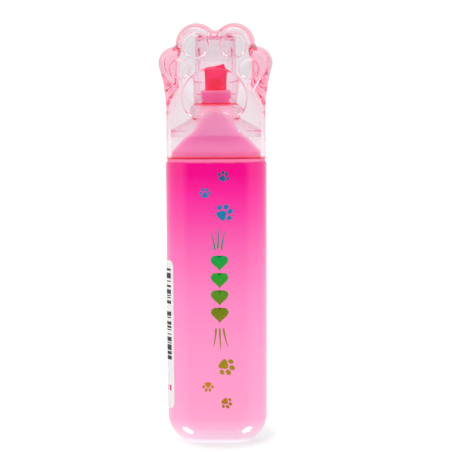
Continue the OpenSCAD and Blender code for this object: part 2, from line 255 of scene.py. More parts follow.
class Finish(Nodes):
    """A new material, with its Principled shader, the Object coordinates and their axes."""

    def __init__(self, name):
        self.material = bpy.data.materials.new(name)
        self.material.use_nodes = True
        super().__init__(self.material.node_tree)
        self.shader = self.nodes["Principled BSDF"]
        self.place = self.add("TexCoord").outputs["Object"]
        self.x, self.y, self.z = self.add("SeparateXYZ", {0: self.place}).outputs

    def shade(self, inputs):
        """Gives the shader's sockets their values."""
        for socket, value in inputs.items():
            self.put(self.shader.inputs[socket], value)

    def ramp(self, stops):
        """A colour that follows the height: stops are (millimetres, screen colour)."""
        low, high = stops[0][0], stops[-1][0]
        up = self.spread(self.z, low * MM, high * MM, 0.0, 1.0)
        node = self.add("ValToRGB", {0: up})
        elements = node.color_ramp.elements
        while len(elements) < len(stops):
            elements.new(0.5)
        for element, (z, colour) in zip(elements, stops):
            element.position = (z - low) / (high - low)
            element.color = linear(colour)
        return node.outputs["Color"]

    def noise(self, scale, detail=2, place=None):
        """Noise with so many cells to a metre, from 0 to 1 and mostly near the middle."""
        inputs = {"Scale": scale, "Detail": detail, "Vector": place or self.place}
        return self.add("TexNoise", inputs).outputs["Fac"]

    def stretched_noise(self, across, along, detail=2):
        """Noise with so many cells to a metre across the pen and fewer along it."""
        inputs = {"Vector": self.place, "Scale": (across, across, along)}
        return self.noise(1, detail, self.add("Mapping", inputs).outputs[0])

    def bump(self, height, strength, distance):
        """Makes the surface uneven by a height, over a distance in millimetres."""
        inputs = {"Height": height, "Strength": strength, "Distance": distance * MM}
        self.shade({"Normal": self.add("Bump", inputs).outputs["Normal"]})


# %% [markdown]
# ## Barrel
# The real barrel is one moulding, open at the mouth, with walls that draw in a little
# towards the base. Its profile runs from the middle of the base round the rounded edge, up
# the outside, over the rim and back down the inside. The width rounds in with a larger
# radius than the depth, so both follow a quarter ellipse of their own.

# %% Barrel shape
WALL = 1.5
DRAFT = 0.35
BASE_CORNER = 7.4
BASE_EDGE = 5.2
FLOOR = 1.8
RIM_ROUND = 0.12
STRAIGHT_FROM = 9
STRAIGHT_ROWS = 30
half_w = barrel_hi[0]
half_d = barrel_hi[1]


def barrel_section(z, inset=0.0):
    """Half width and half depth of the barrel at heights z: the mouth's size less the draft,
    less what the quarter circles of the base take off."""
    drawn = inset + DRAFT * (1 - z / mouth_z)
    taken = []
    for radius in (BASE_CORNER, BASE_EDGE):
        r = radius - inset
        up = np.clip(1 - (z - (FLOOR if inset else 0)) / r, 0, 1)
        taken.append(r * (1 - np.sqrt(np.maximum(1 - up**2, 0))))
    return half_w - drawn - taken[0], half_d - drawn - taken[1]


def barrel_levels(low, inset, steps):
    """Heights that are close together round the base and far apart on the straight side."""
    curve = low + (BASE_CORNER - inset) * (1 - np.cos(np.linspace(0, np.pi / 2, steps)))
    straight = np.linspace(low + STRAIGHT_FROM, mouth_z, STRAIGHT_ROWS)
    return np.concatenate([curve, straight])


outside = barrel_levels(0, 0, 26)
inside = barrel_levels(FLOOR, WALL, 14)
wall_profile = np.stack([*barrel_section(outside), outside], axis=1)
bore_profile = np.stack([*barrel_section(inside, WALL), inside], axis=1)[::-1]
base_steps = np.array([[0.05], [0.35], [0.7]])
base_profile = wall_profile[0] * [1, 1, 0] * base_steps
floor_profile = bore_profile[-1] * [1, 1, 0] * base_steps[::-1] + [0, 0, FLOOR]
wall_profile[-1, :2] -= RIM_ROUND
rim_corner = [half_w, half_d, mouth_z - RIM_ROUND]
wall_profile = np.insert(wall_profile, -1, rim_corner, axis=0)
barrel = turned_piece(
    "barrel_moulding",
    oval_rings(np.concatenate([base_profile, wall_profile, bore_profile, floor_profile])),
)

# %% [markdown]
# ## Barrel finish
# The plastic is glossy and its pink fades from the mouth down to the base. A ramp on the
# height gives that change; its stops below 6.5 mm are paler still, painted light on the
# rounded base. A faint noise breaks up the gloss, as on any moulding that has been handled,
# and a clear coat gives the crisp reflection on top. The last two millimetres give off light
# of their own: a painted glow where the base meets the white table.

# %% Barrel material
# the stops below 6.5 mm are paler than the print's fade: painted light on the rounded base
BARREL_STOPS = [
    (0.0, (255, 226, 240)),
    (2.2, (255, 208, 231)),
    (4.0, (254, 188, 219)),
    (6.5, (254, 164, 204)),
    (12, (251, 155, 199)),
    (25, (250, 148, 196)),
    (39, (248, 132, 190)),
    (52.6, (243, 100, 174)),
    (62, (242, 62, 160)),
    (68, (242, 34, 150)),
    (73, (236, 0, 134)),
    (77, (235, 0, 130)),
]
# painted glow: the lowest two millimetres of the barrel give off light of their own
BASE_PAINTED_GLOW = [
    (0.0, (196, 184, 190)),
    (0.5, (150, 134, 142)),
    (1.3, (60, 52, 56)),
    (2.6, (0, 0, 0)),
]
finish = Finish("barrel_pink_fade_painted_base_glow")
handling = finish.noise(900, detail=3)
finish.bump(handling, 0.06, 0.02)
finish.shade(
    {
        "Base Color": finish.ramp(BARREL_STOPS),
        "Roughness": finish.spread(handling, 0, 1, 0.07, 0.13),
        "Emission Color": finish.ramp(BASE_PAINTED_GLOW),
        "Emission Strength": 1,
        "Coat Weight": 0.25,
        "Coat Roughness": 0.06,
        "Sheen Weight": 0.5,
        "Sheen Roughness": 0.35,
    }
)
barrel.data.materials.append(finish.material)
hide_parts("barrel")
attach(barrel, "pen")

# %% [markdown]
# ## Where things lie on the barrel
# The label and the printed foil follow the barrel's surface. A place on it is a distance
# round from the middle of the front and a height, so flat artwork can be drawn first and
# wrapped afterwards.

# %% Wrapping flat artwork
STRAIGHT = half_w - half_d


def on_barrel(round_mm, z, lift):
    """The place at a distance round the barrel from the middle of its front, at height z and
    a lift off the surface: along the flat first, then round the end's circle by distance
    over radius."""
    radius = half_d - DRAFT * (1 - z / mouth_z) + lift
    angle = np.maximum(np.abs(round_mm) - STRAIGHT, 0) / half_d
    along = np.clip(round_mm, -STRAIGHT, STRAIGHT)
    x = along + np.sign(round_mm) * radius * np.sin(angle)
    return np.stack([x, -radius * np.cos(angle), z], axis=-1)


# %% [markdown]
# ## Label
# A paper label is stuck on the left side. It starts in front of the widest point, with two
# rounded corners, and ends on the flat back. It is a sheet with a thickness, so its edge
# catches a little light.

# %% Label shape
LABEL_CORNER = 1.8
LABEL_THICK = 0.12
FRONT_DEG = 49
label_start = -(STRAIGHT + half_d * math.radians(FRONT_DEG))
label_end = -(STRAIGHT + half_d * math.pi)
label_z0, label_z1 = label_lo[2], label_hi[2]
LABEL_ROWS, LABEL_COLS = 72, 80

# rows bunch up at the two rounded corners
rise = 0.5 - 0.5 * np.cos(np.linspace(0, np.pi, LABEL_ROWS))
z_rows = label_z0 + (label_z1 - label_z0) * rise
near_end = np.minimum(z_rows - label_z0, label_z1 - z_rows)
cut_back = LABEL_CORNER - np.sqrt(
    LABEL_CORNER**2 - (LABEL_CORNER - np.minimum(near_end, LABEL_CORNER)) ** 2
)
span = np.linspace(0, 1, LABEL_COLS)[None, :]
starts = (label_start - cut_back)[:, None]
round_grid = starts + (label_end - starts) * span
z_grid = np.broadcast_to(z_rows[:, None], round_grid.shape)
sheet_top = on_barrel(round_grid, z_grid, LABEL_THICK)
sheet_under = on_barrel(round_grid, z_grid, -0.01)


def loop_of(rows, cols):
    """Corner numbers round the edge of a grid, in order."""
    grid = np.arange(rows * cols).reshape(rows, cols)
    return np.concatenate([grid[0], grid[1:, -1], grid[-1, -2::-1], grid[-2:0:-1, 0]])


def sheet_faces(rows, cols):
    """Quads of two grids, one above the other, and of the wall between their edges."""
    quads = grid_quads(rows, cols, wrap=False)
    edge = loop_of(rows, cols)
    ahead = np.roll(edge, -1)
    count = rows * cols
    wall = np.stack([edge, ahead, ahead + count, edge + count], axis=1)
    return np.concatenate([quads, quads[:, ::-1] + count, wall]).tolist()


label = make_piece(
    "paper_label",
    np.concatenate([sheet_top.reshape(-1, 3), sheet_under.reshape(-1, 3)]),
    sheet_faces(LABEL_ROWS, LABEL_COLS),
)

# %% [markdown]
# ## Label print
# The print is generic: a stack of bars that stand for no number, a few grey rules and a
# row of dots. It is drawn by the material from the object's own coordinates. Bars come from
# a random value for each step of height, so nothing is encoded.

# %% Label material
BAR_STEP = 0.3
BAR_GAPS = 0.36
finish = Finish("label_paper_print")


def patch(pattern, z_from, z_to, y_from, y_to):
    """A pattern inside a box of the label, in millimetres, and 0 elsewhere."""
    in_height = finish.between(finish.z, z_from * MM, z_to * MM)
    in_depth = finish.between(finish.y, y_from * MM, y_to * MM)
    return finish.math("MULTIPLY", pattern, in_height, in_depth)


def stripes(pitch, start, end):
    """1 on a share of every pitch of the depth: the part from start to end."""
    turns = finish.math("DIVIDE", finish.y, pitch * MM)
    return finish.between(finish.math("FRACT", turns), start, end)


step = finish.math("FLOOR", finish.math("DIVIDE", finish.z, BAR_STEP * MM))
chance = finish.add("TexWhiteNoise", {"W": step}, noise_dimensions="1D")
bar_on = finish.math("GREATER_THAN", chance.outputs["Value"], BAR_GAPS)
bars = patch(bar_on, 22.6, 47.4, -4.7, 4.6)
rules = patch(stripes(1.5, 0.0, 0.28), 24, 46, 5.6, 8.3)
dots = patch(stripes(2.6, 0.2, 0.75), 14.2, 15.7, -4.4, 7.2)
paper = finish.mix(finish.noise(1500), linear((219, 219, 217)), linear((232, 232, 228)))
inked = finish.mix(bars, paper, linear((42, 40, 44)))
inked = finish.mix(rules, inked, linear((120, 120, 124)))
inked = finish.mix(dots, inked, linear((214, 60, 140)))
finish.shade({"Base Color": inked, "Roughness": 0.55})
label.data.materials.append(finish.material)
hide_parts("label")
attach(label, "pen")

# %% [markdown]
# ## Printed foil
# Hot foil is pressed into the front: paw prints, whiskers and a row of hearts, running from
# blue through green to gold. Each mark is a flat outline, drawn in millimetres round and up
# the barrel, with a top, an underside and a wall of a few hundredths of a millimetre.

# %% Outlines of the marks
OUTLINE = 48
PHASE = (np.arange(OUTLINE) + 0.5) / OUTLINE * 2 * np.pi


def turned(points, degrees):
    """Points turned clockwise about the origin."""
    c, s = math.cos(math.radians(degrees)), math.sin(math.radians(degrees))
    return points @ np.array([[c, -s], [s, c]])


def oval_mark(cx, cz, rx, rz, degrees=0):
    """An oval: sine of the phase across, cosine up. Point i and its mirror image are the
    same count from each end, so strips can fill it."""
    points = np.stack([rx * np.sin(PHASE), rz * np.cos(PHASE)], axis=1)
    return turned(points, degrees) + [cx, cz]


def paw_mark(cx, cz, size, degrees=0):
    """Four oval toes above a pad, whose radius is a circle's plus a cosine of three times
    the phase: a rounded triangle with its point up."""
    radius = 0.255 * (1 + 0.17 * np.cos(3 * PHASE))
    pad = np.stack([1.1 * radius * np.sin(PHASE), radius * np.cos(PHASE)], axis=1)
    parts = [
        pad + [0, -0.2],
        oval_mark(-0.17, 0.29, 0.135, 0.17, -6),
        oval_mark(0.17, 0.29, 0.135, 0.17, 6),
        oval_mark(-0.4, 0.0, 0.125, 0.155, -24),
        oval_mark(0.4, 0.0, 0.125, 0.155, 24),
    ]
    flat = turned(np.array(parts).reshape(-1, 2), degrees)
    return flat.reshape(len(parts), OUTLINE, 2) * size + [cx, cz]


def heart_mark(cx, cz, size):
    """A heart: the cube of a sine across, and a sum of cosines up."""
    across = 16 * np.sin(PHASE) ** 3
    up = 13 * np.cos(PHASE) - 5 * np.cos(2 * PHASE)
    up = up - 2 * np.cos(3 * PHASE) - np.cos(4 * PHASE)
    return np.stack([across, up + 2.5], axis=1) / 32 * size + [cx, cz]


def whisker_mark(root, tip, bow, width):
    """A tapered stroke from root to tip: a parabola that stands off the straight line by
    bow, with a width that shrinks towards the tip as a root of what is left."""
    root, tip = np.array(root, float), np.array(tip, float)
    t = np.linspace(0, 1, OUTLINE // 2)[:, None]
    along = (tip - root) / np.linalg.norm(tip - root)
    aside = np.array([along[1], -along[0]])
    middle = root + (tip - root) * t + aside * bow * 4 * t * (1 - t)
    half = 0.5 * width * np.sqrt(np.maximum(1 - t, 0.015)) * np.minimum(1, 0.45 + 6 * t)
    return np.concatenate([middle + aside * half, (middle - aside * half)[::-1]])


# %% A film over each outline
FOIL_THICK = 0.03
FOIL_ROOT = 0.02


def foil_film(name, outlines):
    """A thin closed film for every outline. Each has a top and an underside, filled with
    strips from point i to its mirror point, and a wall."""
    marks = np.array(outlines)
    count = len(marks)
    top = on_barrel(marks[..., 0], marks[..., 1], FOIL_THICK)
    under = on_barrel(marks[..., 0], marks[..., 1], -FOIL_ROOT)
    points = np.stack([top, under], axis=1).reshape(-1, 3)
    i = np.arange(OUTLINE // 2 - 1)
    strip = np.stack([i, i + 1, OUTLINE - 2 - i, OUTLINE - 1 - i], axis=1)
    j = np.arange(OUTLINE)
    ahead = (j + 1) % OUTLINE
    wall = np.stack([j, ahead, ahead + OUTLINE, j + OUTLINE], axis=1)
    one = np.concatenate([strip, strip[:, ::-1] + OUTLINE, wall])
    starts = np.arange(count)[:, None, None] * 2 * OUTLINE
    faces = (one[None] + starts).reshape(-1, 4)
    return make_piece(name, points, faces.tolist())


paws = np.concatenate(
    [
        paw_mark(2.3, 72.5, 3.2, 26),
        paw_mark(-2.7, 68.0, 3.0, 0),
        paw_mark(2.5, 62.7, 4.8, 47),
        paw_mark(2.8, 21.0, 4.7, 130),
        paw_mark(-2.2, 15.6, 2.9, 180),
        paw_mark(2.8, 11.2, 3.1, 134),
    ]
)
foil_paws = foil_film("foil_paws", paws)

WHISKER_W = 0.52
whiskers = [
    whisker_mark((-0.2, 52.7), (-1.25, 57.5), 0.25, WHISKER_W),
    whisker_mark((0.6, 52.8), (0.85, 58.5), 0.1, WHISKER_W),
    whisker_mark((1.7, 52.6), (2.8, 57.8), -0.25, WHISKER_W),
    whisker_mark((0.1, 31.5), (-0.6, 26.5), -0.1, WHISKER_W),
    whisker_mark((1.1, 31.5), (1.4, 25.4), 0.1, WHISKER_W),
    whisker_mark((2.1, 31.5), (3.4, 26.2), 0.2, WHISKER_W),
]
foil_whiskers = foil_film("foil_whiskers", whiskers)

HEART_SIZE = 4.7
heart_z = np.linspace(49.0, 34.9, 4)
hearts = [heart_mark(1.1, level, HEART_SIZE) for level in heart_z]
foil_hearts = foil_film("foil_hearts", hearts)

# %% [markdown]
# ## Foil finish
# The foil's colour follows its height. It is part metal: enough to flash when the pen turns
# and still read as a colour from the front. A fine noise in the roughness is the grain that
# the stamping die leaves.

# %% Foil material
FOIL_STOPS = [
    (8, (178, 116, 22)),
    (15.6, (214, 144, 18)),
    (21, (176, 150, 20)),
    (30, (150, 146, 16)),
    (37, (120, 142, 14)),
    (44, (52, 174, 44)),
    (50, (20, 178, 72)),
    (55, (12, 158, 140)),
    (62.7, (18, 138, 190)),
    (68, (26, 138, 198)),
    (73, (34, 98, 142)),
]
finish = Finish("foil_rainbow")
finish.shade(
    {
        "Base Color": finish.ramp(FOIL_STOPS),
        "Metallic": 0.25,
        "Roughness": finish.spread(finish.noise(3500), 0, 1, 0.18, 0.38),
    }
)
for foil in (foil_paws, foil_whiskers, foil_hearts):
    foil.data.materials.append(finish.material)
    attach(foil, "pen")

# %% [markdown]
# ## Front section
# One moulding closes the barrel and holds the nib: a plug, a thin flange, the sleeve that
# the cap slides over, a sloping shoulder, a neck that flares out and is cut flat in front,
# and the collar that seals in the cap. All of these are ovals, so it is one closed profile.

# %% Front section shape
FLANGE_TOP = mouth_z + 0.95
SLEEVE_TOP = 79.0
SHOULDER_TOP = 83.2
FLARE_TOP = 88.2
NECK_R = 5.2
NECK_TOP = 91.2
COLLAR_R = 3.87
COLLAR_TOP = front_hi[2]
FLAT_D = 5.7
SHOULDER_W = 8.45
PLUG_END = front_lo[2]
PLUG_W, PLUG_D = 12.2, 6.95
SLEEVE_D = 7.0
HOLLOW_W, HOLLOW_D = 11.05, 5.8
HOLLOW_TOP = SLEEVE_TOP - 1.2
NIB_W, NIB_T = 2.7, 2.1
flare_rise = FLARE_TOP - SHOULDER_TOP
flare_run = SHOULDER_W - NECK_R
flare_r = (flare_rise**2 + flare_run**2) / (2 * flare_run)
flare_z = np.linspace(SHOULDER_TOP, FLARE_TOP, 16)
flare_w = NECK_R + flare_r - np.sqrt(flare_r**2 - (FLARE_TOP - flare_z) ** 2)
flare = np.stack([flare_w, np.minimum(flare_w, FLAT_D), flare_z], axis=1)
below_neck = [
    (PLUG_W, PLUG_D, PLUG_END),
    (PLUG_W, PLUG_D, mouth_z),
    (front_hi[0], front_hi[1], mouth_z),
    (front_hi[0], front_hi[1], FLANGE_TOP),
    (PLUG_W, SLEEVE_D, FLANGE_TOP),
    (PLUG_W, SLEEVE_D, SLEEVE_TOP),
    (SHOULDER_W + 0.02, FLAT_D + 0.02, SHOULDER_TOP - 0.01),
]
above_flare = [
    (NECK_R, NECK_R, NECK_TOP - 0.3),
    (NECK_R - 0.3, NECK_R - 0.3, NECK_TOP),
    (COLLAR_R, COLLAR_R, NECK_TOP),
    (COLLAR_R, COLLAR_R, COLLAR_TOP - 0.45),
    (COLLAR_R - 0.45, COLLAR_R - 0.45, COLLAR_TOP),
    (NIB_W + 0.03, NIB_T + 0.03, COLLAR_TOP),
]
inside_it = [
    (NIB_W + 0.03, NIB_T + 0.03, HOLLOW_TOP),
    (HOLLOW_W, HOLLOW_D, HOLLOW_TOP),
    (HOLLOW_W, HOLLOW_D, PLUG_END),
]
front_profile = np.concatenate([below_neck, flare, above_flare, inside_it])
front_section = turned_piece(
    "front_moulding", oval_rings(soften(front_profile, 0.16, 4)), closed_loop=True
)

# %% [markdown]
# ## Front section finish
# This plastic is a satin pink that lets some light in, so it looks soft beside the barrel.
# A little subsurface scattering does that. The colour is deeper near the flange and paler on
# the flared neck, where the wall is thinner. A second ramp is a painted glow, which also
# stands in for the dye's fluorescence: all of it where the moulding is seen through a clear
# wall, to make up for the light that the wall takes away, and a little of it where it is seen
# bare.
# Round a deeper core, shaped like a tent, the neck is painted paler, painted light where light
# comes through it.

# %% Front section material
FRONT_STOPS = [
    (76, (250, 122, 178)),
    (78.2, (252, 100, 166)),
    (79.5, (255, 150, 206)),
    (83.0, (255, 140, 204)),
    (83.8, (255, 182, 224)),
    (88.5, (255, 170, 216)),
    (91.0, (255, 176, 220)),
    (92.0, (255, 112, 180)),
    (94.8, (255, 112, 180)),
    (95.5, (255, 170, 215)),
]
# painted glow: a ramp of (height, colour) that the moulding gives off as light
FRONT_PAINTED_GLOW = [
    (76, (96, 50, 72)),
    (77.1, (96, 50, 72)),
    (77.6, (158, 64, 104)),
    (83.0, (166, 70, 110)),
    (83.8, (170, 96, 132)),
    (88.5, (172, 112, 138)),
    (91.0, (176, 136, 150)),
    (92.0, (150, 50, 88)),
    (95.4, (150, 70, 104)),
]
CORE_TOP = 89.5
CORE_BLUR = 3.0
COLLAR_Z = 91.4
OPEN_PAINTED_GLOW = 0.12
finish = Finish("satin_pink")
# outside a tent-shaped core the colour and the glow are painted paler: painted light
from_middle = finish.math("ABSOLUTE", finish.x)
above_core = finish.math("SUBTRACT", finish.z, CORE_TOP * MM)
outside_core = finish.math("ADD", from_middle, above_core)
aside = finish.spread(outside_core, 0, CORE_BLUR * MM, 0, 1, "SMOOTHSTEP")
below_collar = finish.math("LESS_THAN", finish.z, COLLAR_Z * MM)
fade = finish.math("MULTIPLY", aside, below_collar)
# the full painted glow only where the ray has come through a clear wall
passed = finish.add("LightPath").outputs["Transmission Depth"]
under_clear = finish.math("GREATER_THAN", passed, 0.5)
finish.bump(finish.noise(2600, detail=3), 0.12, 0.02)
finish.shade(
    {
        "Base Color": finish.mix(fade, finish.ramp(FRONT_STOPS), linear((252, 212, 226))),
        "Emission Color": finish.mix(
            fade, finish.ramp(FRONT_PAINTED_GLOW), linear((176, 144, 160))
        ),
        "Emission Strength": finish.spread(under_clear, 0, 1, OPEN_PAINTED_GLOW, 1),
        "Roughness": 0.38,
        "Subsurface Weight": 0.12,
        "Subsurface Scale": 0.8 * MM,
        "Subsurface Radius": (1.0, 0.35, 0.5),
    }
)
front_section.data.materials.append(finish.material)
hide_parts("front_section")
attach(front_section, "pen")

# %% [markdown]
# ## Nib
# The nib is a bar of bonded fibre, cut to a chisel: two faces slope to a thin edge, and the
# edge slants so that one corner is higher. Each upright line of the bar is stretched to the
# height that the slant gives it, so the edge comes out straight.

# %% Nib shape
NIB_TIP = nib_hi[2]
NIB_TAIL = nib_lo[2]
BEVEL_Z = 98.4
EDGE_HALF = 0.45
SLANT = 1.6
CORNER_X = 2.3
PULL_LENGTH = 1.8


def nib_rings(fractions):
    """Rings of the sloping end. A point's height is the same fraction of the way from the
    bevel to the slanted edge above it, and the depth shrinks in proportion to the height."""
    f = np.asarray(fractions)[:, None]
    x = (NIB_W - NIB_T) * OVAL_END + NIB_T * OVAL_COS
    top = NIB_TIP - SLANT * np.clip((CORNER_X - x) / (CORNER_X + NIB_W), 0, 1)
    z = BEVEL_Z + f * (top - BEVEL_Z)
    slope = (z - BEVEL_Z) / (NIB_TIP - BEVEL_Z)
    depth = NIB_T + (EDGE_HALF - NIB_T) * slope
    pull = np.clip((z - NIB_TIP) / PULL_LENGTH + 1, 0, 1) * (NIB_W - CORNER_X)
    side = np.where(x > 0, x / NIB_W, 0)
    return np.stack([x - pull * side, depth * OVAL_SIN, z], axis=2)


tail = oval_rings(
    [
        (NIB_W - 1.2, EDGE_HALF, NIB_TAIL),
        (NIB_W - 0.1, NIB_T - 0.1, NIB_TAIL + 6),
        (NIB_W, NIB_T, NIB_TAIL + 7),
        (NIB_W, NIB_T, BEVEL_Z - 0.6),
    ]
)
chisel = nib_rings(np.concatenate([np.linspace(0, 0.97, 24), [1.0]]))
chisel[-1, :, 1] *= 0.75
nib = turned_piece("fibre_nib", np.concatenate([tail, chisel]), sharp_deg=28)

# %% [markdown]
# ## Nib finish
# The fibre holds ink: deep red in the middle of the bar. The cut faces and the sides of the
# bar are painted lighter, as a painted highlight. Noise that is stretched along the pen stands
# for the fibres, and there is hardly any gloss. The fibre gives off a little of its own
# colour:
# a painted glow, which also stands in for the dye's fluorescence.

# %% Nib material
# the stops from 98.9 mm up are paler: a painted highlight on the cut faces
NIB_STOPS = [
    (94, (242, 0, 60)),
    (98.1, (244, 0, 64)),
    (98.9, (254, 34, 110)),
    (101.0, (254, 26, 102)),
    (102.0, (250, 10, 96)),
]
finish = Finish("ink_fibre_red")
# the sides of the bar are painted lighter: a painted highlight
off_axis = finish.math("ABSOLUTE", finish.x)
beside = finish.spread(off_axis, 1.3 * MM, 1.9 * MM, 0, 1, "SMOOTHSTEP")
ink_and_painted_highlight = finish.mix(beside, finish.ramp(NIB_STOPS), linear((254, 12, 98)))
strands = finish.stretched_noise(5200, 260, detail=4)
streaks = finish.spread(strands, 0, 1, 0, 0.22)
fibre = finish.mix(streaks, ink_and_painted_highlight, linear((196, 0, 40)))
finish.bump(strands, 0.35, 0.04)
finish.shade(
    {
        "Base Color": fibre,
        "Emission Color": fibre,
        # painted glow, which also stands in for the dye's fluorescence
        "Emission Strength": 0.42,
        "Roughness": 0.85,
        "Specular IOR Level": 0.0,
    }
)
nib.data.materials.append(finish.material)
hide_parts("nib")
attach(nib, "pen")

# %% [markdown]
# ## Ink reservoir
# Inside the barrel a bundle of fibres holds the ink in a clear wrap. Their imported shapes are
# right as they are, so they only get finishes: stretched noise for the fibres, and a
# thin film with small creases for the wrap.

# %% Reservoir materials
def give(node, material):
    """Puts one material on every slot of a carried-over node."""
    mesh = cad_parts[node].data
    mesh.materials.clear()
    mesh.materials.append(material)


finish = Finish("reservoir_fibre")
strands = finish.stretched_noise(3000, 150)
bundle = finish.mix(strands, linear((240, 60, 130)), linear((255, 130, 180)))
finish.shade({"Base Color": bundle, "Roughness": 0.9})
give("reservoir_core", finish.material)

finish = Finish("reservoir_wrap")
creases = finish.noise(400, detail=3)
finish.bump(creases, 0.3, 0.1)
tone = finish.mix(creases, linear((226, 224, 232)), linear((240, 238, 244)))
finish.shade({"Base Color": tone, "Roughness": 0.2})
give("reservoir_film", finish.material)

# %% [markdown]
# ## Clear plastics
# The cap and the part inside it are clear, with a little pink in them. Glass gets that from
# its volume: light that travels further inside is tinted more, so thin walls look almost
# grey-white and solid toes and edges look pink. A light that only has to cross the plastic
# to reach the pen passes through a tinted see-through shader, because a path tracer would
# otherwise leave the pen in shadow.

# %% Clear plastic recipe
# pink of the painted refraction lines round the pads
PAD_PAINTED_LINE_PINK = (0.95, 0.3, 0.42, 1)


def clear_plastic(name, ior, passes, faces, edges, stops, density, tint, rough, wave):
    """Glass with an absorbing volume of that density to a metre and that tint. Its surface
    has the colour faces where it is seen squarely and edges where it is seen at a slant,
    multiplied by the colours of stops, a ramp of (height, colour). Where a piece has the
    attribute pad_painted_line, the surface is pinker. Shadow rays go through the colour in passes
    instead. wave is the strength of its slow unevenness."""
    finish = Finish(name)
    finish.bump(finish.noise(160, detail=3), wave, 0.05)
    slant = finish.add("LayerWeight", {"Blend": 0.12}).outputs["Facing"]
    surface = finish.mix(slant, faces, edges)
    surface = finish.mix(1.0, surface, finish.ramp(stops), "MULTIPLY")
    lines = finish.add("Attribute", attribute_name="pad_painted_line").outputs["Fac"]
    finish.shade(
        {
            "Transmission Weight": 1,
            "IOR": ior,
            "Base Color": finish.mix(lines, surface, PAD_PAINTED_LINE_PINK),
            "Roughness": finish.spread(
                finish.noise(500), 0, 1, rough * 0.5, rough * 1.5
            ),
        }
    )
    shadow = finish.add("LightPath").outputs["Is Shadow Ray"]
    through = finish.add("BsdfTransparent", {"Color": passes}).outputs[0]
    either = finish.add("MixShader", {0: shadow, 1: finish.shader.outputs[0], 2: through})
    absorb = finish.add("VolumeAbsorption", {"Color": tint, "Density": density})
    output = finish.nodes["Material Output"]
    finish.put(output.inputs["Surface"], either.outputs[0])
    finish.put(output.inputs["Volume"], absorb.outputs[0])
    return finish.material


# %% [markdown]
# ## Inner cap
# Inside the paw a second, pinker moulding seals the nib: a closed tube, a ring that clears
# the neck, and a funnel that widens from the ring to an oval skirt pressed into the cap.
# It too is one profile of ovals, from the middle of the roof outside to the middle inside.

# %% Inner cap shape
TUBE_R = 5.49
RING_R = 6.55
THROAT_R = 5.5
LEDGE_Z = 92.2
RING_END = 88.4
SKIRT_TOP = 84.9
SKIRT_END = inner_lo[2]
TUBE_TOP = inner_hi[2]
SKIRT_W, SKIRT_D = inner_hi[0], inner_hi[1]
INNER_WALL = 1.05
COLLAR_ROOM = COLLAR_R + 0.45
SEAL_R = COLLAR_R + 0.05
CHAMBER_R = COLLAR_R + 0.35
NIB_ROOM_R = 4.4
inner_profile = [
    (0.05, 0.05, TUBE_TOP),
    (TUBE_R - 0.6, TUBE_R - 0.6, TUBE_TOP),
    (TUBE_R, TUBE_R, TUBE_TOP - 0.6),
    (TUBE_R, TUBE_R, LEDGE_Z),
    (RING_R, RING_R, LEDGE_Z - 0.8),
    (RING_R, RING_R, RING_END),
    (SKIRT_W, SKIRT_D, SKIRT_TOP),
    (SKIRT_W, SKIRT_D, SKIRT_END),
    (SKIRT_W - INNER_WALL, SKIRT_D - INNER_WALL, SKIRT_END),
    (SKIRT_W - INNER_WALL, SKIRT_D - INNER_WALL, SKIRT_TOP - 0.5),
    (THROAT_R, THROAT_R, RING_END - 0.5),
    (THROAT_R, THROAT_R, LEDGE_Z - 0.7),
    (COLLAR_ROOM, COLLAR_ROOM, LEDGE_Z - 0.7),
    (COLLAR_ROOM, COLLAR_ROOM, NECK_TOP + 1.6),
    (SEAL_R, SEAL_R, NECK_TOP + 2.1),
    (SEAL_R, SEAL_R, NECK_TOP + 3.1),
    (CHAMBER_R, CHAMBER_R, NECK_TOP + 3.5),
    (CHAMBER_R, CHAMBER_R, NECK_TOP + 6.2),
    (NIB_ROOM_R, NIB_ROOM_R, NECK_TOP + 6.4),
    (NIB_ROOM_R, NIB_ROOM_R, TUBE_TOP - 1.5),
    (NIB_ROOM_R - 0.4, NIB_ROOM_R - 0.4, TUBE_TOP - 1.1),
    (0.05, 0.05, TUBE_TOP - 1.1),
]
CLEAR = (255, 255, 255)
PAINTED_CORAL_LINE = (255, 130, 120)
# a thin coral band at the ledge: a painted refraction line
INNER_STOPS = [
    (83, CLEAR),
    (91.7, CLEAR),
    (91.9, PAINTED_CORAL_LINE),
    (92.3, PAINTED_CORAL_LINE),
    (92.5, CLEAR),
    (111, CLEAR),
]
inner_cap = turned_piece("inner_cap_moulding", oval_rings(soften(inner_profile, 0.14, 4)))
inner_cap.data.materials.append(
    clear_plastic(
        "clear_pink_inner",
        ior=1.25,
        passes=(0.99, 0.9, 0.94, 1),
        faces=(1.0, 1.0, 1.0, 1),
        edges=(1.0, 0.8, 0.86, 1),
        stops=INNER_STOPS,
        density=85,
        tint=(1.0, 0.28, 0.6, 1),
        rough=0.03,
        wave=0.05,
    )
)
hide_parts("inner_cap")
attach(inner_cap, "cap")

# %% [markdown]
# ## Outline of the paw
# Seen from the front the cap is a paw: upright sides, a slow swelling to a solid toe on each
# side, two larger toes on top and a shallow valley between them. Every stretch is an arc
# that runs into the next, so the outline follows from where two circles touch.

# %% Paw outline
LOBE = np.array([5.1, 108.2])
LOBE_R = 5.7
TOE = np.array([11.05, 103.05])
TOE_R = 4.45
NOTCH_R = 1.0
WAIST_Z = 89.5
VALLEY_Z = 111.9
SIDE_X = 13.5
RIM_Z = cap_lo[2]
CAP_WALL = 1.1
VALLEY_R = (LOBE[0] ** 2 + (VALLEY_Z - LOBE[1]) ** 2 - LOBE_R**2) / (
    2 * (LOBE_R - VALLEY_Z + LOBE[1])
)


def heading(a, b):
    """Direction from point a to point b, in degrees."""
    return math.degrees(math.atan2(b[1] - a[1], b[0] - a[0]))


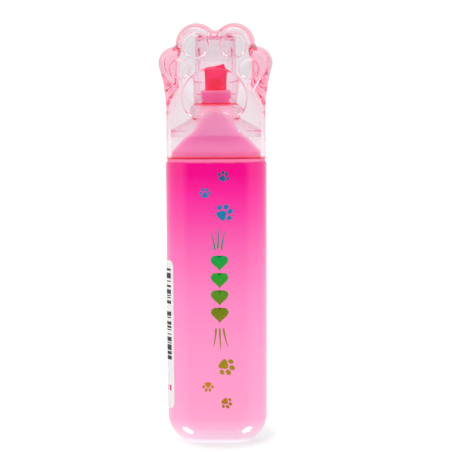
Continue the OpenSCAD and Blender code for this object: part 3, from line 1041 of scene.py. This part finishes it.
def arc(centre, radius, start, end, count=60):
    """Points of an arc, from one angle to another, in degrees."""
    turn = np.radians(np.linspace(start, end, count))
    return np.stack(
        [centre[0] + radius * np.cos(turn), centre[1] + radius * np.sin(turn)], axis=1
    )


def resting_on(a, ra, b, rb, f):
    """Middle of a circle of radius f that touches circles a and b from outside, by the two
    sides of the triangle between the three middles."""
    gap = np.linalg.norm(b - a)
    u = (b - a) / gap
    along = ((ra + f) ** 2 - (rb + f) ** 2 + gap**2) / (2 * gap)
    off = math.sqrt((ra + f) ** 2 - along**2)
    return a + along * u + off * np.array([-u[1], u[0]])


def both_sides(half):
    """The right half of an outline, followed by its mirror image in reverse."""
    return np.concatenate([half, half[::-1] * [-1, 1]])


overhang = SIDE_X - TOE[0]
swell = TOE[1] - WAIST_Z
waist_r = (overhang**2 + swell**2 - TOE_R**2) / (2 * (TOE_R - overhang))
waist = np.array([SIDE_X + waist_r, WAIST_Z])
notch = resting_on(LOBE, LOBE_R, TOE, TOE_R, NOTCH_R)
valley = np.array([0, VALLEY_Z + VALLEY_R])
paw_outline = both_sides(
    np.concatenate(
        [
            [[SIDE_X, RIM_Z]],
            arc(waist, waist_r, 180, heading(waist, TOE)),
            arc(TOE, TOE_R, heading(TOE, waist), heading(TOE, notch)),
            arc(notch, NOTCH_R, heading(TOE, notch) + 180, heading(LOBE, notch) + 180, 20),
            arc(LOBE, LOBE_R, heading(LOBE, notch), heading(LOBE, valley)),
            arc(valley, VALLEY_R, heading(valley, LOBE), -90, 30),
        ]
    )
)
HOLLOW_X = SIDE_X - CAP_WALL
# the hollow narrows beside the side toes, which stay solid
hollow_side = [[HOLLOW_X, RIM_Z], [HOLLOW_X, 88.0], [10.9, 98.55], [10.6, 103.55]]
hollow_outline = both_sides(
    np.concatenate(
        [
            hollow_side,
            arc(LOBE, LOBE_R - CAP_WALL, 5, heading(LOBE, valley)),
            arc(valley, VALLEY_R + CAP_WALL, heading(valley, LOBE), -90, 30),
        ]
    )
)
print("paw outline:", len(paw_outline), "points, top at", paw_outline[:, 1].max().round(2))

# %% [markdown]
# ## The cap as two pillows
# The cap is an outline seen from the front and an oval seen from above, so each skin is
# height over outline: near the edge the surface turns in like a quarter of an ellipse, and
# it is flat further in. That needs the distance of each point to the edge. A plain distance
# has creases, so a smooth one is used: a high power mean of the distances to all edge points.

# %% Distance to an outline
POWER = 8
LINE_SHARE = 5 * math.pi / 16
BEADS = 1400
PARTS = 40
NEAR_LINE = 0.3
NEAR_BLEND = 0.5


def even_steps(outline, count):
    """Points at equal steps along an open line."""
    run = np.concatenate([[0], np.cumsum(np.linalg.norm(np.diff(outline, axis=0), axis=1))])
    at = np.linspace(0, run[-1], count)
    return np.stack([np.interp(at, run, outline[:, k]) for k in (0, 1)], axis=1)


def smooth_step(t):
    """0 below 0, 1 above 1, and three t squared less two t cubed between."""
    t = np.clip(t, 0, 1)
    return t * t * (3 - 2 * t)


def smooth_distance(points, outline):
    """Distance to a line as a power mean: the sum of step over distance to the power p, over
    that sum's value at distance 1 from a straight line, to the power -1 over p - 1. The line
    is carried on below its ends, so the mean stays true at the rim. Very near the line the
    sum would feel its separate steps, so there it is the distance at right angles."""
    below = np.array([0, -40.0])
    line = np.concatenate([[outline[0] + below], outline, [outline[-1] + below]])
    beads = even_steps(line, BEADS)
    step = np.linalg.norm(beads[1] - beads[0])
    along = np.gradient(beads, axis=0)
    along /= np.linalg.norm(along, axis=1)[:, None]
    out = []
    for part in np.array_split(points, PARTS):
        gap2 = ((part[:, None, :] - beads[None]) ** 2).sum(axis=2)
        total = (step / np.maximum(gap2, 1e-8) ** (POWER / 2)).sum(axis=1)
        mean = (total / LINE_SHARE) ** (-1 / (POWER - 1))
        near = gap2.argmin(axis=1)
        off = part - beads[near]
        square = np.abs(off[:, 0] * along[near, 1] - off[:, 1] * along[near, 0])
        share = smooth_step((square - NEAR_LINE) / NEAR_BLEND)
        out.append(square + (mean - square) * share)
    return np.concatenate(out)


def pillow(distance, half_depth, radius):
    """Half depth at a distance from the edge: a quarter ellipse that is radius wide, and
    the full half depth further in."""
    left = 1 - np.minimum(distance, radius) / radius
    return half_depth * np.sqrt(np.maximum(1 - left**2, 0))


# %% [markdown]
# ## Grids over the outline
# Each skin is a polar grid: rings that shrink from the outline to a point inside it. The
# rings crowd towards the edge, where the surface turns. Both skins of a wall use the same
# number of points along the rim, so a strip can join them there.

# %% Skins
RIM_COUNT = 130
EDGE_COUNT = 350
CENTRE = np.array([0, 97.0])
ROUND_BLEND = 12


def rim_line(half_width, half_depth):
    """Places along the rim at equal steps of the oval's own edge, from left to right."""
    x = np.linspace(-half_width, half_width, 4000)
    inset = half_width - np.abs(x)
    y = pillow(inset, half_depth, half_depth)
    y[[0, -1]] = 0
    return even_steps(np.stack([x, y], axis=1), RIM_COUNT + 1)


def skin(outline, half_width, half_depth, top_radius, rows, side, rise=None):
    """One skin: rings of (x, y, z) from the middle outwards. side is -1 in front and 1 at the
    back. The last ring follows the rim, then the outline from right to left."""
    walk = rim_line(half_width, half_depth)
    rim_part = np.stack([walk[:, 0], np.full(RIM_COUNT + 1, RIM_Z)], axis=1)
    edge_part = even_steps(outline, EDGE_COUNT + 1)[1:-1]
    loop = np.concatenate([rim_part, edge_part])
    shrink = 1 - (1 - np.linspace(0.02, 1, rows)) ** 2
    flat = CENTRE + (loop - CENTRE) * shrink[:, None, None]
    far = smooth_distance(flat.reshape(-1, 2), outline).reshape(flat.shape[:2])
    up = smooth_step((flat[..., 1] - WAIST_Z) / ROUND_BLEND)
    radius = half_depth + (top_radius - half_depth) * up
    depth = pillow(far, half_depth, radius)
    if rise is not None:
        depth = depth + rise(flat)
    depth[-1, : RIM_COUNT + 1] = walk[:, 1]
    depth[-1, RIM_COUNT + 1 :] = 0
    return np.stack([flat[..., 0], side * depth, flat[..., 1]], axis=2)


# %% [markdown]
# ## Pads
# Five pads stand proud of the paw's front: one on each toe and a big one below, with a wide
# arc on top and a low arch between two round corners. A pad is a quick step at its edge and
# a slow dome inside, both driven by the distance from the pad's edge.

# %% Pad shapes
PAD_RISE = 0.79
SMALL_STEP = (0.68, 0.8, 3.4)
BIG_STEP = (0.16, 0.45, 7.0)
LENS_SWELL = 0.5
TOP_PAD = (5.15, 107.8, 3.65)
SIDE_PAD = (9.35, 101.4, 2.85)
BIG_Z = 93.75
BIG_R = 8.85
BIG_TOP = 8.0
BIG_CORNER = np.array([5.2, BIG_Z - 1.8])
BIG_MIDDLE = np.array([0, BIG_Z])
CORNER_R = BIG_R - np.linalg.norm(BIG_CORNER - BIG_MIDDLE)
arch_top = BIG_Z - 3.55
drop = BIG_CORNER[1] - arch_top
arch_r = (BIG_CORNER[0] ** 2 + drop**2 - CORNER_R**2) / (2 * (CORNER_R - drop))
ARCH = np.array([0, arch_top - arch_r])


def round_depth(points, x, z, radius):
    """How far points are inside a circle."""
    return radius - np.hypot(points[..., 0] - x, points[..., 1] - z)


def big_depth(points):
    """How far points are inside the big pad: the nearer of the upper arc and the arch below,
    or, in the wedge between their two ends, the corner's own circle."""
    p = np.stack([np.abs(points[..., 0]), points[..., 1]], axis=-1)
    squashed = (p - BIG_MIDDLE) * [1, BIG_R / BIG_TOP]
    squashed[..., 1] = np.maximum(squashed[..., 1], (p - BIG_MIDDLE)[..., 1])
    upper = BIG_R - np.linalg.norm(squashed, axis=-1)
    corner = CORNER_R - np.linalg.norm(p - BIG_CORNER, axis=-1)
    arch = np.linalg.norm(p - ARCH, axis=-1) - arch_r
    past = p - BIG_CORNER
    out = BIG_CORNER - BIG_MIDDLE
    down = ARCH - BIG_CORNER
    below_out = past[..., 0] * out[1] - past[..., 1] * out[0] > 0
    before_arch = past[..., 0] * down[1] - past[..., 1] * down[0] < 0
    return np.where(below_out & before_arch, corner, np.minimum(upper, arch))


def pad_step(depth, edge_rise, edge_width, dome_width):
    """A quick quarter ellipse at the pad's edge and a slow one inside it."""
    inside = np.maximum(depth, 0)
    edge = pillow(inside, edge_rise, edge_width)
    return edge + pillow(inside, PAD_RISE - edge_rise, dome_width)


def all_pads(flat):
    """How far the five pads lift the front at each place."""
    mirrored = np.stack([np.abs(flat[..., 0]), flat[..., 1]], axis=-1)
    small = np.maximum(round_depth(mirrored, *TOP_PAD), round_depth(mirrored, *SIDE_PAD))
    big = big_depth(flat)
    return np.maximum(pad_step(small, *SMALL_STEP), pad_step(big, *BIG_STEP))


def lens_back(flat):
    """How far the wall behind the big pad swells inwards: a parabola, so that the pad and
    the wall together enlarge the nib a little, as a lens does."""
    off = np.linalg.norm(flat - BIG_MIDDLE, axis=-1) / BIG_R
    return -LENS_SWELL * np.maximum(1 - off**2, 0)


# %% Cap mesh
OUT_W, OUT_D = SIDE_X, cap_hi[1]
TOP_ROUND = 1.9
IN_ROUND = TOP_ROUND - CAP_WALL
IN_W, IN_D = HOLLOW_X, OUT_D - CAP_WALL
skins = [
    skin(paw_outline, OUT_W, OUT_D, TOP_ROUND, 112, -1, all_pads),
    skin(paw_outline, OUT_W, OUT_D, TOP_ROUND, 36, 1),
    skin(hollow_outline, IN_W, IN_D, IN_ROUND, 26, -1, lens_back),
    skin(hollow_outline, IN_W, IN_D, IN_ROUND, 22, 1),
]
points, faces, start = [], [], 0
rim_rows = []
cols = skins[0].shape[1]
around = np.arange(cols)
for rings in skins:
    rows = len(rings)
    middle = rings[0].mean(axis=0)[None]
    points += [rings.reshape(-1, 3), middle]
    quads = grid_quads(rows, cols, wrap=True) + start
    pole = np.full(cols, start + rows * cols)
    fan = np.stack([pole, start + around, start + (around + 1) % cols], axis=1)
    faces += quads.tolist() + fan.tolist()
    rim_rows.append(start + (rows - 1) * cols + np.arange(RIM_COUNT + 1))
    start += rows * cols + 1
for outer, inner in ((rim_rows[0], rim_rows[2]), (rim_rows[1], rim_rows[3])):
    faces += np.stack([outer[:-1], outer[1:], inner[1:], inner[:-1]], axis=1).tolist()
# a thin coral band at the cap's rim: a painted refraction line
RIM_STOPS = [(77.0, PAINTED_CORAL_LINE), (77.45, PAINTED_CORAL_LINE), (77.75, CLEAR), (114, CLEAR)]
cap_shell = make_piece("cap_paw", np.concatenate(points), faces, sharp_deg=50)

# %% Painted lines round the pads
# a thin pink line just inside each pad's edge: a painted refraction line
LINE_HALF = 0.17
LINE_INSET = 0.1
TOP_SHARE = 0.35
SIDE_SHARE = 0.3


def line_on(depth):
    """A bell curve of how far a place is from a line just inside a pad's edge."""
    return np.exp(-(((depth - LINE_INSET) / LINE_HALF) ** 2))


spots = np.empty(len(cap_shell.data.vertices) * 3)
cap_shell.data.vertices.foreach_get("co", spots)
spots = spots.reshape(-1, 3) / MM
seen_flat = spots[:, [0, 2]]
to_big = line_on(big_depth(seen_flat))
to_top = TOP_SHARE * line_on(round_depth(np.abs(seen_flat), *TOP_PAD))
to_side = SIDE_SHARE * line_on(round_depth(np.abs(seen_flat), *SIDE_PAD))
line_strength = np.maximum(to_big, np.maximum(to_top, to_side))
line_strength[spots[:, 1] > -IN_D - 0.4] = 0
marks = cap_shell.data.attributes.new("pad_painted_line", "FLOAT", "POINT")
marks.data.foreach_set("value", line_strength)
print("points on pad lines:", int((line_strength > 0.3).sum()))

# %% Cap finish
cap_shell.data.materials.append(
    clear_plastic(
        "clear_paw",
        ior=1.47,
        passes=(0.97, 0.92, 0.93, 1),
        faces=(0.875, 0.888, 0.892, 1),
        edges=(0.98, 0.6, 0.72, 1),
        stops=RIM_STOPS,
        density=40,
        tint=(1.0, 0.1, 0.4, 1),
        rough=0.012,
        wave=0.02,
    )
)
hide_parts("cap_shell")
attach(cap_shell, "cap")

# %% [markdown]
# ## Stage and light
# The pen stands on a white table in a white room. The light is even, so the clear cap stays
# clear. The table gives off half of its light itself, which keeps the pen's pink off it, and
# gives off less in an oval behind the pen, as its soft shade. What shiny surfaces mirror is
# richer: a dark gap in front, where the camera is, bright walls on both sides, and small
# lamps low down on each side that leave the white spots on the pads and on the base.

# %% Floor
FLOOR_HALF = 4.0
SHADE_MIDDLE = (2.5, 15, 0)
SHADE_HALF = (17, 45, 1000)
SHADE_CORE = 0.6
corners = [(-1, -1, 0), (1, -1, 0), (1, 1, 0), (-1, 1, 0)]
floor_mesh = bpy.data.meshes.new("floor")
floor_mesh.from_pydata((np.array(corners) * FLOOR_HALF).tolist(), [], [(0, 1, 2, 3)])
floor = bpy.data.objects.new("floor", floor_mesh)
bpy.context.scene.collection.objects.link(floor)
finish = Finish("white_table")
white = finish.mix(finish.noise(60), linear((192, 192, 192)), linear((194, 194, 194)))
middle = tuple(MM * v for v in SHADE_MIDDLE)
half = tuple(MM * v for v in SHADE_HALF)
off = finish.add("VectorMath", {0: finish.place, 1: middle}, operation="SUBTRACT")
off = finish.add("VectorMath", {0: off.outputs[0], 1: half}, operation="DIVIDE")
reach = finish.add("VectorMath", {0: off.outputs[0]}, operation="LENGTH")
shade = finish.spread(reach.outputs["Value"], 1.0, SHADE_CORE, 0, 1, "SMOOTHSTEP")
finish.shade(
    {
        "Base Color": white,
        "Emission Color": finish.mix(
            shade, (0.58, 0.58, 0.58, 1), (0.32, 0.345, 0.343, 1)
        ),
        "Emission Strength": 1,
        "Roughness": 0.9,
        "Specular IOR Level": 0.0,
    }
)
floor_mesh.materials.append(finish.material)
floor.visible_glossy = False

# %% Room light
ROOM_LEVEL = 1.12
WALL_LEVEL = 0.66
INSIDE_MORE = 0.35
OFTEN_MORE = 0.35
LAMP_LEVEL = 16.0
GAP_SIDE = (0.04, -1, 0.05)
OFTEN_TINGE = (1.0, 0.7, 0.75, 1.0)
world = bpy.data.worlds.new("white_room")
bpy.context.scene.world = world
world.use_nodes = True
room = Nodes(world.node_tree)
looking = room.add("TexCoord").outputs["Generated"]


def glow(direction, wide_deg, soft_deg, level):
    """Level inside a cone about a direction, fading to 0 over soft_deg at its edge."""
    unit = np.array(direction, float) / np.linalg.norm(direction)
    dot = room.add("VectorMath", {0: looking, 1: unit}, operation="DOT_PRODUCT")
    outer = math.cos(math.radians(wide_deg + soft_deg))
    inner = math.cos(math.radians(wide_deg))
    return room.spread(dot.outputs["Value"], outer, inner, 0, level)


rays = room.add("LightPath").outputs
once = room.math("LESS_THAN", rays["Glossy Depth"], 1.5)
often = room.math("SUBTRACT", 1.0, once)
from_air = room.math("LESS_THAN", rays["Transmission Depth"], 0.5)
inside = room.math("SUBTRACT", 1.0, from_air)
gap_wide = room.math("MULTIPLY", glow(GAP_SIDE, 33, 24, 1.0), from_air)
gap = room.math("MAXIMUM", gap_wide, glow(GAP_SIDE, 9, 12, 1.0))
open_room = room.math("SUBTRACT", 1.0, room.math("MULTIPLY", gap, once))
brighter = room.math("MULTIPLY", inside, INSIDE_MORE)
brightest = room.math("MULTIPLY", often, OFTEN_MORE)
wall_level = room.math("ADD", brighter, brightest, WALL_LEVEL)
mirrored_room = room.math(
    "ADD",
    room.math("MULTIPLY", open_room, wall_level),
    glow((-0.66, -0.28, -0.75), 13, 3, LAMP_LEVEL),
    glow((0.66, -0.28, -0.75), 13, 3, LAMP_LEVEL),
    glow((0, -0.15, 1), 24, 6, 2.0),
)
mirrored = room.math("GREATER_THAN", rays["Glossy Depth"], 0.5)
not_matt = room.math("LESS_THAN", rays["Diffuse Depth"], 0.5)
mirrored_only = room.math("MULTIPLY", mirrored, not_matt)
level = room.add("Mix", {"Factor": mirrored_only, "A": ROOM_LEVEL, "B": mirrored_room})
background = room.nodes["Background"]
room.put(background.inputs["Strength"], level.outputs["Result"])
tinge = room.mix(often, (1.0, 1.0, 1.0, 1.0), OFTEN_TINGE)
room.put(background.inputs["Color"], tinge)

# %% Let light run round inside the clear plastic
light_paths = bpy.context.scene.cycles
light_paths.max_bounces = 40
light_paths.glossy_bounces = 32
light_paths.transmission_bounces = 32

# %% [markdown]
# ## Camera
# A long lens from a little above and a little to the right keeps the pen's sides parallel.

# %% Camera
from mathutils import Matrix, Vector

AZIMUTH = math.radians(2.5)
ELEVATION = math.radians(2.8)
ROLL = math.radians(-0.34)
DISTANCE = 0.8
VIEW_WIDTH = 123.16 * MM
AIM_RIGHT = 2.56 * MM
AIM_Z = 58.7 * MM
back = Vector(
    (
        math.sin(AZIMUTH) * math.cos(ELEVATION),
        -math.cos(AZIMUTH) * math.cos(ELEVATION),
        math.sin(ELEVATION),
    )
)
right = Vector((math.cos(AZIMUTH), math.sin(AZIMUTH), 0))
aim = Vector((0, 0, AIM_Z)) + right * AIM_RIGHT
camera_data = bpy.data.cameras.new("camera")
camera_data.lens = camera_data.sensor_width * DISTANCE / VIEW_WIDTH
camera = bpy.data.objects.new("camera", camera_data)
camera.location = aim + back * DISTANCE
turn = back.to_track_quat("Z", "Y").to_matrix().to_4x4() @ Matrix.Rotation(ROLL, 4, "Z")
camera.rotation_euler = turn.to_euler()
bpy.context.scene.collection.objects.link(camera)
bpy.context.scene.camera = camera
bpy.context.scene.view_settings.view_transform = "Standard"
print("lens", round(camera_data.lens, 1), "mm")
